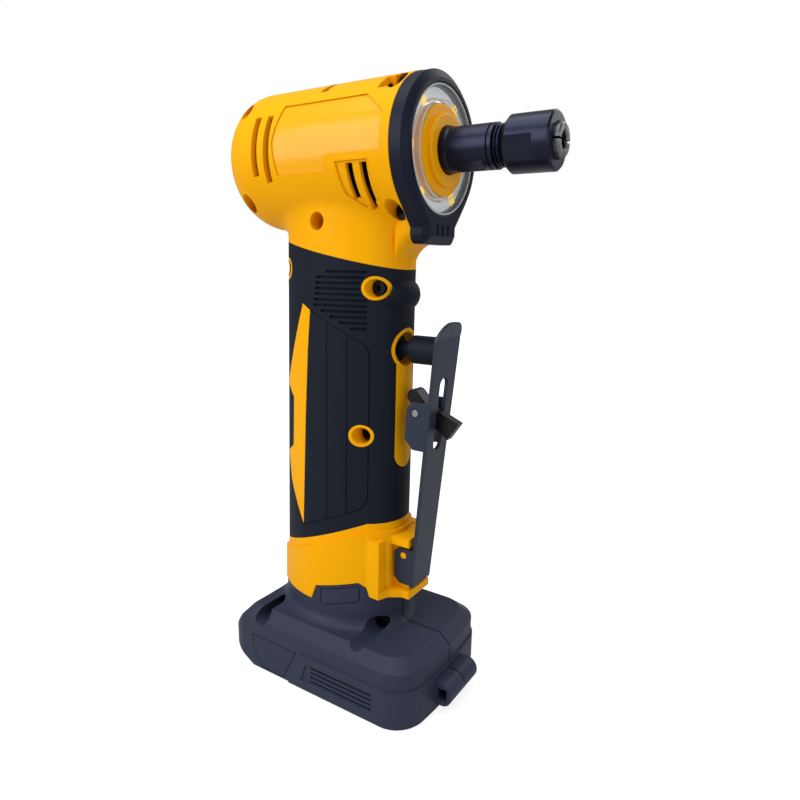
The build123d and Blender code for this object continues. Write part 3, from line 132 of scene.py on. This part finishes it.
class GrinderSizes(bpy.types.PropertyGroup):
    """Sizes of the finishes and of the trim that is added to the solids."""

    edge_round: length("Edge round", "Radius seen on moulded edges", 0.0006)
    steel_round: length("Steel edge round", "Radius seen on the lever's and the plunger's edges", 0.0004)
    parting_width: length("Parting line", "Width of the line between the halves", 0.0003)
    label_radius: length("Label floor", "Radius of the smooth label field", 0.0299)
    bead: length("Lens bead", "Half width of the beads on the lens", 0.0004)
    silver_edge: length("Silver edge", "Outer radius of the silver ring on the lamp board", 0.0192)
    # The tan ring is a painted reflection: the yellow hub as seen in the lens's inner wall.
    hub_reflection_edge: length("Tan edge", "Outer radius of the bare ring on the lamp board", 0.0200)
    spring_wire: length("Spring wire", "Wire of the plunger's return spring", 0.0008)
    spring_turns: bpy.props.IntProperty(
        name="Spring turns", description="Turns of the plunger's return spring", default=7)


class GrinderStudio(bpy.types.PropertyGroup):
    """Camera, floor and lights."""

    camera_place: bpy.props.FloatVectorProperty(
        name="Camera", description="Camera position", subtype="TRANSLATION", size=3,
        default=(0.15885, -0.2371, 0.202))
    yaw: angle("Yaw", "Turn to the left", 0.571)
    pitch: angle("Pitch", "Tilt down", 0.213)
    roll: angle("Roll", "Lean", 0.017)
    lens: bpy.props.FloatProperty(
        name="Lens", description="Focal length in millimetres on a 36 mm sensor", default=28.36)
    floor: colour("Floor", "Floor colour", (0.36, 0.36, 0.36))
    floor_glow: bpy.props.FloatProperty(
        name="Floor glow", description="Light given off by the lit paper sweep", default=0.82)
    room: bpy.props.FloatProperty(
        name="Room", description="Strength of the room's light on the tool", default=0.30)
    key_power: power("Key", "Key light", 6.5)
    top_power: power("Top", "Top light", 5.0)
    fill_power: power("Fill", "Fill and rim lights", 1.9)


def settings():
    """The scene's colours, sizes and studio values."""
    scene = bpy.context.scene
    return scene.grinder_colours, scene.grinder_sizes, scene.grinder_studio


def set_inputs(node, values):
    """Set a node's inputs, named in small letters with underscores."""
    for name, value in values.items():
        node.inputs[name.replace("_", " ").title()].default_value = value
    return node


def put(tree, kind, **values):
    """Add a node with its named inputs set."""
    return set_inputs(tree.nodes.new(kind), values)


def math_node(tree, operation, first, second=None):
    """Add a Math node that is fed by sockets or plain numbers."""
    node = tree.nodes.new("ShaderNodeMath")
    node.operation = operation
    for socket, value in zip(node.inputs, (first, second)):
        if isinstance(value, (int, float)):
            socket.default_value = value
        elif value is not None:
            tree.links.new(value, socket)
    return node.outputs[0]


def new_group(name, inputs, outputs):
    """Start a shader node group with named sockets."""
    tree = bpy.data.node_groups.new(name, "ShaderNodeTree")
    for label, default in inputs:
        socket = tree.interface.new_socket(label, in_out="INPUT", socket_type="NodeSocketFloat")
        socket.default_value = default
    for label in outputs:
        tree.interface.new_socket(label, in_out="OUTPUT", socket_type="NodeSocketFloat")
    return tree, tree.nodes.new("NodeGroupInput"), tree.nodes.new("NodeGroupOutput")


def mould_grain_group(name):
    """Fine spark grain of a moulded or rubber surface, with a slow change of tone."""
    tree, given, made = new_group(name, [("Scale", 2500.0), ("Tone Scale", 25.0)], ["Height", "Tone"])
    coords = tree.nodes.new("ShaderNodeTexCoord")
    grain = put(tree, "ShaderNodeTexNoise", detail=2.0, roughness=0.6)
    tone = put(tree, "ShaderNodeTexNoise", detail=3.0, roughness=0.5)
    for node, label in ((grain, "Scale"), (tone, "Tone Scale")):
        tree.links.new(coords.outputs["Object"], node.inputs["Vector"])
        tree.links.new(given.outputs[label], node.inputs["Scale"])
    tree.links.new(grain.outputs["Fac"], made.inputs["Height"])
    tree.links.new(tone.outputs["Fac"], made.inputs["Tone"])
    return tree


def turning_group(name):
    """Fine rings left by a lathe, around the spindle's axis."""
    tree, given, made = new_group(name, [("Scale", 4000.0)], ["Height", "Tone"])
    coords = tree.nodes.new("ShaderNodeTexCoord")
    stretch = put(tree, "ShaderNodeMapping", scale=(1.0, 0.02, 0.02))
    rings = put(tree, "ShaderNodeTexNoise", detail=1.0)
    cloud = put(tree, "ShaderNodeTexNoise", scale=120.0, detail=3.0)
    tree.links.new(coords.outputs["Object"], stretch.inputs["Vector"])
    tree.links.new(stretch.outputs["Vector"], rings.inputs["Vector"])
    tree.links.new(coords.outputs["Object"], cloud.inputs["Vector"])
    tree.links.new(given.outputs["Scale"], rings.inputs["Scale"])
    tree.links.new(rings.outputs["Fac"], made.inputs["Height"])
    tree.links.new(cloud.outputs["Fac"], made.inputs["Tone"])
    return tree


def split_place(tree):
    """Add the nodes that give X, Y and Z of a point on the tool."""
    coords = tree.nodes.new("ShaderNodeTexCoord")
    split = tree.nodes.new("ShaderNodeSeparateXYZ")
    tree.links.new(coords.outputs["Object"], split.inputs[0])
    return split.outputs


def parting_group(name):
    """Mask of the thin line where the two moulded halves meet."""
    tree, given, made = new_group(name, [("Width", 0.0005)], ["Mask"])
    away = math_node(tree, "ABSOLUTE", split_place(tree)["Y"])
    half = math_node(tree, "MULTIPLY", given.outputs["Width"], 0.5)
    tree.links.new(math_node(tree, "LESS_THAN", away, half), made.inputs["Mask"])
    return tree


def spindle_radius_group(name):
    """Distance from the spindle's axis, and a mask of a thin shell around a given radius."""
    tree, given, made = new_group(name, [("Radius", 0.03), ("Reach", 0.0002)], ["Distance", "Mask"])
    place = split_place(tree)
    rise = math_node(tree, "SUBTRACT", place["Z"], SPINDLE_Z)
    squares = [math_node(tree, "POWER", side, 2.0) for side in (place["Y"], rise)]
    distance = math_node(tree, "SQRT", math_node(tree, "ADD", *squares))
    away = math_node(tree, "ABSOLUTE", math_node(tree, "SUBTRACT", distance, given.outputs["Radius"]))
    tree.links.new(distance, made.inputs["Distance"])
    tree.links.new(math_node(tree, "LESS_THAN", away, given.outputs["Reach"]), made.inputs["Mask"])
    return tree


group_makers = {
    "Mould grain": mould_grain_group,
    "Turning marks": turning_group,
    "Parting line": parting_group,
    "Spindle radius": spindle_radius_group,
}


def place_group(tree, name, **values):
    """Place a shared group, built the first time it is asked for, with this material's own values."""
    node = tree.nodes.new("ShaderNodeGroup")
    node.node_tree = bpy.data.node_groups.get(name) or group_makers[name](name)
    return set_inputs(node, values)


def span(tree, source, low, high):
    """Map a 0 to 1 value on to a range."""
    node = put(tree, "ShaderNodeMapRange", to_min=low, to_max=high)
    tree.links.new(source, node.inputs["Value"])
    return node.outputs["Result"]


def blend_colours(tree, factor, first, second):
    """Mix two colours, each a plain colour or a socket, by a mask."""
    node = tree.nodes.new("ShaderNodeMix")
    node.data_type = "RGBA"
    tree.links.new(factor, node.inputs[0])
    for socket, value in ((node.inputs[6], first), (node.inputs[7], second)):
        if isinstance(value, bpy.types.NodeSocket):
            tree.links.new(value, socket)
        else:
            socket.default_value = (*value, 1.0)
    return node.outputs[2]


def scaled(colour_value, share):
    """A colour made darker or brighter, at most white."""
    return tuple(min(1.0, channel * share) for channel in colour_value)


def start_material(name):
    """New material with its tree and its Principled shader."""
    material = bpy.data.materials.new(name)
    material.use_nodes = True
    return material, material.node_tree, material.node_tree.nodes["Principled BSDF"]


def relief(tree, shader, height, depth, edge=None):
    """Bump over edges that read as slightly rounded."""
    bump = put(tree, "ShaderNodeBump", distance=depth, strength=1.0)
    tree.links.new(height, bump.inputs["Height"])
    if edge:
        rounded = put(tree, "ShaderNodeBevel", radius=edge)
        tree.links.new(rounded.outputs["Normal"], bump.inputs["Normal"])
    tree.links.new(bump.outputs["Normal"], shader.inputs["Normal"])


def moulded(name, tint, roughness, grain=2500.0, depth=0.00003, edge=None, parting=0.0, seam=0.6, gloss=0.5,
            label=0.0):
    """Moulded plastic or rubber with grain and, if asked, a parting line or a smooth label field."""
    material, tree, shader = start_material(name)
    shader.inputs["Specular IOR Level"].default_value = gloss
    texture = place_group(tree, "Mould grain", scale=grain)
    shade = blend_colours(tree, texture.outputs["Tone"], scaled(tint, PLASTIC_DEEP), tint)
    height = texture.outputs["Height"]
    if label:
        field = place_group(tree, "Spindle radius", radius=label).outputs["Mask"]
        height = math_node(tree, "MULTIPLY", height, math_node(tree, "SUBTRACT", 1.0, field))
        tree.links.new(math_node(tree, "MULTIPLY", field, LABEL_COAT), shader.inputs["Coat Weight"])
        shader.inputs["Coat Roughness"].default_value = LABEL_COAT_ROUGH
    if parting:
        line = place_group(tree, "Parting line", width=parting).outputs["Mask"]
        shade = blend_colours(tree, line, shade, scaled(tint, seam))
    rough = span(tree, texture.outputs["Tone"], roughness - PLASTIC_SPREAD, roughness + PLASTIC_SPREAD)
    tree.links.new(shade, shader.inputs["Base Color"])
    tree.links.new(rough, shader.inputs["Roughness"])
    relief(tree, shader, height, depth, edge)
    return material


def metal(name, tint, roughness, marks=4000.0, depth=0.000004, edge=0.0003):
    """Machined or ground metal with turning marks."""
    material, tree, shader = start_material(name)
    shader.inputs["Metallic"].default_value = 1.0
    texture = place_group(tree, "Turning marks", scale=marks)
    shade = blend_colours(tree, texture.outputs["Tone"], tint, scaled(tint, METAL_BRIGHT))
    rough = span(tree, texture.outputs["Tone"], roughness - METAL_SPREAD, roughness + METAL_SPREAD)
    tree.links.new(shade, shader.inputs["Base Color"])
    tree.links.new(rough, shader.inputs["Roughness"])
    relief(tree, shader, texture.outputs["Height"], depth, edge)
    return material


def lamp_board(name, sizes):
    """Lamp board: pale solder mask with a silver ring, and next to the hub a tan ring that is a painted
    reflection of the yellow hub; the whole board glows with painted light.
    """
    material, tree, shader = start_material(name)
    texture = place_group(tree, "Mould grain", scale=900.0)
    distance = place_group(tree, "Spindle radius").outputs["Distance"]
    past_silver = math_node(tree, "GREATER_THAN", distance, sizes.silver_edge)
    past_hub_reflection = math_node(tree, "GREATER_THAN", distance, sizes.hub_reflection_edge)
    mask = blend_colours(tree, texture.outputs["Tone"], (0.74, 0.80, 0.86), (0.84, 0.88, 0.92))
    # Painted reflection: the tan ring between the silver edge and the tan edge stands for the yellow hub seen
    # in the lens's inner wall.
    shade = blend_colours(tree, past_silver, (0.80, 0.80, 0.80), (0.52, 0.34, 0.18))
    shade = blend_colours(tree, past_hub_reflection, shade, mask)
    tree.links.new(shade, shader.inputs["Base Color"])
    # Painted light: the board glows in its own colours, though it is no lamp.
    tree.links.new(shade, shader.inputs["Emission Color"])
    shader.inputs["Emission Strength"].default_value = BOARD_PAINTED_LIGHT
    tree.links.new(span(tree, past_silver, 0.22, 0.45), shader.inputs["Roughness"])
    tree.links.new(span(tree, past_silver, 0.9, 0.0), shader.inputs["Metallic"])
    relief(tree, shader, texture.outputs["Height"], 0.00001)
    return material


def clear_plastic(name, cover):
    """Clear moulded lens with a faint ripple, thin enough for the board to show through."""
    material, tree, shader = start_material(name)
    shader.inputs["Alpha"].default_value = cover
    texture = place_group(tree, "Mould grain", scale=350.0)
    shade = blend_colours(tree, texture.outputs["Tone"], (0.62, 0.66, 0.70), (0.74, 0.78, 0.82))
    tree.links.new(shade, shader.inputs["Base Color"])
    tree.links.new(span(tree, texture.outputs["Tone"], 0.05, 0.14), shader.inputs["Roughness"])
    relief(tree, shader, texture.outputs["Height"], 0.00002)
    return material


def wear(material, *names):
    """Put a material on CAD nodes."""
    for name in names:
        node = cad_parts[name]
        if not node.material_slots:
            node.data.materials.append(material)
        for slot in node.material_slots:
            slot.material = material


def new_object(name, mesh, material):
    """Turn a bmesh into an object of the scene."""
    data = bpy.data.meshes.new(name)
    mesh.to_mesh(data)
    mesh.free()
    data.materials.append(material)
    made = bpy.data.objects.new(name, data)
    bpy.context.collection.objects.link(made)
    return made


def new_piece(name, mesh, material, body):
    """Finish a bmesh as a piece that rides on a body."""
    bmesh.ops.remove_doubles(mesh, verts=mesh.verts, dist=1e-6)
    bmesh.ops.recalc_face_normals(mesh, faces=mesh.faces)
    piece = new_object(name, mesh, material)
    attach(piece, body)
    return piece


def lens_bead(x, radius, half):
    """Round bead about the spindle's axis, half sunk into a face at X."""
    mesh = bmesh.new()
    turns = [2 * pi * step / BEAD_CORNERS for step in range(BEAD_CORNERS)]
    corners = [mesh.verts.new((x + half * BEAD_PROUD * cos(turn), 0.0, SPINDLE_Z + radius + half * sin(turn)))
               for turn in turns]
    edges = [mesh.edges.new((corners[i - 1], corners[i])) for i in range(BEAD_CORNERS)]
    bmesh.ops.spin(mesh, geom=corners + edges, cent=(0, 0, SPINDLE_Z), axis=SPINDLE_AXIS, angle=2 * pi,
                   steps=RING_STEPS, use_merge=True)
    return mesh


def coil_spring(low, high, wire, turns):
    """Round wire wound along X inside a box, closed at both ends."""
    mesh = bmesh.new()
    middle = (Vector(low) + Vector(high)) / 2
    rise = (high[2] - low[2] - wire) / 2
    start = Matrix.Translation((low[0] + wire / 2, middle.y, middle.z + rise)) @ Matrix.Rotation(pi / 2, 4, "X")
    bmesh.ops.create_circle(mesh, segments=WIRE_CORNERS, radius=wire / 2, matrix=start)
    steps = turns * COIL_STEPS
    advance = (high[0] - low[0] - wire) / steps
    bmesh.ops.spin(mesh, geom=mesh.verts[:] + mesh.edges[:], cent=middle, axis=SPINDLE_AXIS,
                   dvec=(advance, 0, 0), angle=2 * pi * turns, steps=steps)
    bmesh.ops.holes_fill(mesh, edges=[edge for edge in mesh.edges if edge.is_boundary], sides=0)
    return mesh


class GRINDER_OT_shell(bpy.types.Operator):
    """Finish the moulded housing halves and the nose hub."""

    bl_idname = "grinder.shell"
    bl_label = "Housing"

    def execute(self, context):
        colours, sizes, _ = settings()
        shell = moulded("shell_plastic", colours.shell, 0.42, edge=sizes.edge_round,
                        parting=sizes.parting_width, seam=0.75, gloss=0.06, label=sizes.label_radius)
        wear(shell, "housing_right", "housing_left")
        wear(moulded("hub_plastic", colours.shell, 0.36, edge=sizes.edge_round, gloss=0.13), "nose_hub")
        return {"FINISHED"}


class GRINDER_OT_grip(bpy.types.Operator):
    """Finish the rubber grip covers."""

    bl_idname = "grinder.grip"
    bl_label = "Grip covers"

    def execute(self, context):
        colours, sizes, _ = settings()
        rubber = moulded("grip_rubber", colours.grip, 0.58, grain=3200.0, depth=0.00005,
                         edge=sizes.edge_round * 0.6, parting=sizes.parting_width, gloss=0.10)
        wear(rubber, "grip_cover_right", "grip_cover_left")
        return {"FINISHED"}


class GRINDER_OT_foot(bpy.types.Operator):
    """Finish the battery foot and its pads."""

    bl_idname = "grinder.foot"
    bl_label = "Foot"

    def execute(self, context):
        colours, sizes, _ = settings()
        foot = moulded("foot_plastic", colours.foot, 0.46, edge=sizes.edge_round,
                       parting=sizes.parting_width * 3, seam=0.03, gloss=0.17)
        wear(foot, "foot_right", "foot_left")
        pads = moulded("pad_plastic", colours.foot, 0.50, grain=1800.0, depth=0.00004, gloss=0.16)
        wear(pads, "foot_side_pads")
        return {"FINISHED"}


class GRINDER_OT_lamp(bpy.types.Operator):
    """Finish the lamp bezel, lens, board and chips, and add the beads on the lens."""

    bl_idname = "grinder.lamp"
    bl_label = "Lamp ring"

    def execute(self, context):
        colours, sizes, _ = settings()
        wear(moulded("bezel_plastic", colours.bezel, 0.40, edge=sizes.edge_round, gloss=0.13), "led_bezel")
        wear(clear_plastic("lens_plastic", LENS_COVER), "led_lens")
        clear = clear_plastic("lens_bead", BEAD_COVER)
        low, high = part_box("led_lens")
        rim = (high[2] - low[2]) / 2
        for name, radius in (("lens_outer_bead", rim - sizes.bead), ("lens_inner_bead", sizes.silver_edge)):
            new_piece(name, lens_bead(high[0], radius, sizes.bead), clear, "tool_body")
        wear(lamp_board("lamp_board", sizes), "led_board")
        chip = moulded("lamp_chip", colours.lamp, 0.25)
        glow = chip.node_tree.nodes["Principled BSDF"].inputs
        glow["Emission Color"].default_value = (*colours.lamp, 1.0)
        glow["Emission Strength"].default_value = CHIP_GLOW
        wear(chip, "led_chips")
        return {"FINISHED"}


class GRINDER_OT_spindle(bpy.types.Operator):
    """Finish the spindle, the collet and the collet nut."""

    bl_idname = "grinder.spindle"
    bl_label = "Spindle and collet"

    def execute(self, context):
        colours, _, _ = settings()
        wear(metal("black_steel", colours.steel, 0.33, depth=0.000002), "spindle", "collet_nut")
        wear(metal("collet_steel", colours.collet, 0.34), "collet")
        return {"FINISHED"}


class GRINDER_OT_lever(bpy.types.Operator):
    """Finish the trigger lever, its lock tab, pin and plunger, and wind the return spring."""

    bl_idname = "grinder.lever"
    bl_label = "Lever"

    def execute(self, context):
        colours, sizes, _ = settings()
        edge = sizes.steel_round
        paint = moulded("lever_paint", colours.lever, 0.38, grain=1500.0, depth=0.00001, edge=edge, gloss=0.24)
        wear(paint, "trigger_lever")
        wear(moulded("tab_plastic", colours.tab, 0.34, edge=edge, gloss=0.22), "lock_tab")
        wear(moulded("plunger_plastic", colours.plunger, 0.46, edge=edge, gloss=0.10), "plunger")
        steel = metal("pin_steel", colours.pin, 0.34)
        wear(steel, "lock_pin", "lock_spring")
        low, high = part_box("plunger_spring")
        coil = coil_spring(low, high, sizes.spring_wire, sizes.spring_turns)
        spring = new_piece("return_spring", coil, steel, "tool_body")
        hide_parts("plunger_spring")
        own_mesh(spring)
        return {"FINISHED"}


class GRINDER_OT_fasteners(bpy.types.Operator):
    """Finish the screws."""

    bl_idname = "grinder.fasteners"
    bl_label = "Screws"

    def execute(self, context):
        colours, _, _ = settings()
        wear(metal("screw_steel", colours.screws, 0.42), "housing_screws", "foot_screws")
        return {"FINISHED"}


class GRINDER_OT_motor(bpy.types.Operator):
    """Finish the motor, the fan and the bearings."""

    bl_idname = "grinder.motor"
    bl_label = "Motor"

    def execute(self, context):
        bearings = [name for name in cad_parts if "bearing" in name]
        wear(metal("bearing_steel", (0.60, 0.60, 0.62), 0.22), *bearings)
        wear(metal("core_steel", (0.20, 0.20, 0.21), 0.48, marks=2500.0), "stator_core", "rotor_core")
        wear(metal("magnet_plate", (0.42, 0.42, 0.43), 0.30), "rotor_magnets")
        wear(metal("winding_copper", (0.62, 0.24, 0.09), 0.34, marks=1600.0, depth=0.0001), "stator_coils")
        wear(moulded("fan_plastic", (0.018, 0.018, 0.020), 0.45), "cooling_fan", "stator_insulators")
        return {"FINISHED"}


class GRINDER_OT_electrics(bpy.types.Operator):
    """Finish the boards, the switch, the terminals and the leads."""

    bl_idname = "grinder.electrics"
    bl_label = "Electrics"

    def execute(self, context):
        wear(moulded("circuit_board", (0.02, 0.13, 0.05), 0.40), "sensor_board", "controller_board")
        case = moulded("black_case", (0.015, 0.015, 0.017), 0.45)
        wear(case, "trigger_switch", "terminal_block", "power_transistors")
        wear(metal("tray_aluminium", (0.62, 0.62, 0.64), 0.40), "controller_tray", "capacitors")
        wear(metal("blade_copper", (0.70, 0.42, 0.20), 0.30), "terminal_blades")
        wear(moulded("lead_rubber", (0.25, 0.012, 0.012), 0.50), "motor_leads", "power_leads")
        return {"FINISHED"}


def soft_light(name, place, target, size, energy):
    """Square area light aimed at a point."""
    light = bpy.data.lights.new(name, "AREA")
    light.size = size
    light.energy = energy
    lamp = bpy.data.objects.new(name, light)
    lamp.location = place
    lamp.rotation_euler = (Vector(target) - Vector(place)).to_track_quat("-Z", "Y").to_euler()
    bpy.context.collection.objects.link(lamp)


def white_room(studio):
    """White backdrop for the camera, with a dimmer room light for the tool."""
    world = bpy.data.worlds.new("studio")
    world.use_nodes = True
    tree = world.node_tree
    tree.nodes["Background"].inputs["Color"].default_value = (1.0, 1.0, 1.0, 1.0)
    seen = tree.nodes.new("ShaderNodeLightPath").outputs["Is Camera Ray"]
    tree.links.new(span(tree, seen, studio.room, 1.0), tree.nodes["Background"].inputs["Strength"])
    return world


def floor_paper(studio):
    """Paper that glows with painted light, growing to full white away from the tool, and lights the tool no
    more than the room does.
    """
    paper = moulded("floor_paper", studio.floor, 0.9, grain=300.0, depth=0.00002, gloss=0.0)
    tree = paper.node_tree
    seen = tree.nodes.new("ShaderNodeLightPath").outputs["Is Camera Ray"]
    coords = tree.nodes.new("ShaderNodeTexCoord")
    reach = tree.nodes.new("ShaderNodeVectorMath")
    reach.operation = "LENGTH"
    tree.links.new(coords.outputs["Object"], reach.inputs[0])
    far = put(tree, "ShaderNodeMapRange", from_min=PAPER_NEAR, from_max=PAPER_FAR)
    tree.links.new(reach.outputs["Value"], far.inputs["Value"])
    # Painted light: the paper glows dimmer near the tool and full white far from it.
    lit = blend_colours(tree, far.outputs["Result"], [studio.floor_glow] * 3, [PAPER_WHITE] * 3)
    glow = tree.nodes["Principled BSDF"].inputs
    tree.links.new(blend_colours(tree, seen, [studio.room] * 3, lit), glow["Emission Color"])
    glow["Emission Strength"].default_value = 1.0
    return paper


def photo_camera(studio):
    """Camera at the photograph's viewing angle."""
    level = cos(studio.pitch)
    forward = Vector((-sin(studio.yaw) * level, cos(studio.yaw) * level, -sin(studio.pitch)))
    right = Vector((cos(studio.yaw), sin(studio.yaw), 0.0))
    up = right.cross(forward)
    across = cos(studio.roll) * right + sin(studio.roll) * up
    upright = cos(studio.roll) * up - sin(studio.roll) * right
    camera = bpy.data.objects.new("photo_camera", bpy.data.cameras.new("photo_camera"))
    camera.data.sensor_width = 36.0
    camera.data.lens = studio.lens
    camera.data.clip_start = 0.01
    turn = Matrix((across, upright, -forward)).transposed().to_4x4()
    camera.matrix_world = Matrix.Translation(studio.camera_place) @ turn
    bpy.context.collection.objects.link(camera)
    bpy.context.scene.camera = camera


class GRINDER_OT_stage(bpy.types.Operator):
    """Add the floor, the soft lights and the camera."""

    bl_idname = "grinder.stage"
    bl_label = "Studio"

    def execute(self, context):
        _, _, studio = settings()
        mesh = bmesh.new()
        bmesh.ops.create_grid(mesh, x_segments=1, y_segments=1, size=4.0)
        new_object("floor", mesh, floor_paper(studio))
        context.scene.world = white_room(studio)
        context.scene.view_settings.view_transform = "Standard"
        soft_light("key_light", (-0.45, -0.85, 0.56), (0.0, 0.0, 0.16), 0.75, studio.key_power)
        soft_light("top_light", (-0.05, -0.15, 0.95), (0.0, 0.0, 0.20), 0.7, studio.top_power)
        soft_light("fill_light", (0.80, -0.40, 0.40), (0.0, 0.0, 0.16), 0.6, studio.fill_power)
        soft_light("rim_light", (0.25, 0.80, 0.70), (0.0, 0.0, 0.18), 0.6, studio.fill_power)
        photo_camera(studio)
        return {"FINISHED"}


class GRINDER_PT_panel(bpy.types.Panel):
    """Lists the tool's finishes and its studio."""

    bl_idname = "GRINDER_PT_panel"
    bl_label = "Die Grinder"
    bl_space_type = "VIEW_3D"
    bl_region_type = "UI"
    bl_category = "Grinder"

    def draw(self, context):
        for operator in operators:
            self.layout.operator(operator.bl_idname)


operators = (
    GRINDER_OT_shell,
    GRINDER_OT_grip,
    GRINDER_OT_foot,
    GRINDER_OT_lamp,
    GRINDER_OT_spindle,
    GRINDER_OT_lever,
    GRINDER_OT_fasteners,
    GRINDER_OT_motor,
    GRINDER_OT_electrics,
    GRINDER_OT_stage,
)
classes = (GrinderColours, GrinderSizes, GrinderStudio, *operators, GRINDER_PT_panel)


def register():
    """Add the classes and their scene values."""
    for item in classes:
        bpy.utils.register_class(item)
    bpy.types.Scene.grinder_colours = bpy.props.PointerProperty(type=GrinderColours)
    bpy.types.Scene.grinder_sizes = bpy.props.PointerProperty(type=GrinderSizes)
    bpy.types.Scene.grinder_studio = bpy.props.PointerProperty(type=GrinderStudio)


def unregister():
    """Remove the scene values and the classes."""
    del bpy.types.Scene.grinder_studio
    del bpy.types.Scene.grinder_sizes
    del bpy.types.Scene.grinder_colours
    for item in reversed(classes):
        bpy.utils.unregister_class(item)


def main():
    """Build every finish and piece."""
    register()
    for operator in operators:
        getattr(bpy.ops.grinder, operator.bl_idname.split(".")[1])()


if __name__ == "__main__":
    main()
